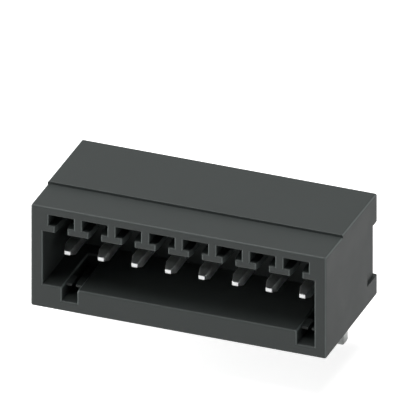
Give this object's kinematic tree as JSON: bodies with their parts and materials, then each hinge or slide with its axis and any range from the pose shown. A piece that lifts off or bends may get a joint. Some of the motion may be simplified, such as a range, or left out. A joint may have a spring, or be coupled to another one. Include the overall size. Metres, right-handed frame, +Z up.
{
  "type": "pin header",
  "caption": "Right-angle shrouded pin header for a circuit board: a dark plastic housing with a keyed mouth and a row of bent square pins with solder legs.",
  "frame": {"origin": "middle of the row of solder legs, in the plane of the housing's underside, which is the board's surface when it is fitted", "axes": "+X along the row of contacts, +Y from the mouth to the back, +Z up off the board"},
  "size_m": [0.022, 0.0101, 0.0118],
  "materials": {
    "housing_plastic": "fine matt moulded grain, dark slate grey",
    "tinned_pin": "copper alloy with a bright tin coat, drawn smooth"
  },
  "bodies": {
    "root": {"housing": "housing_plastic", "contact_pin_1": "tinned_pin", "contact_pin_2": "tinned_pin", "contact_pin_3": "tinned_pin", "contact_pin_4": "tinned_pin", "contact_pin_5": "tinned_pin", "contact_pin_6": "tinned_pin", "contact_pin_7": "tinned_pin", "contact_pin_8": "tinned_pin"}
  },
  "joints": []
}
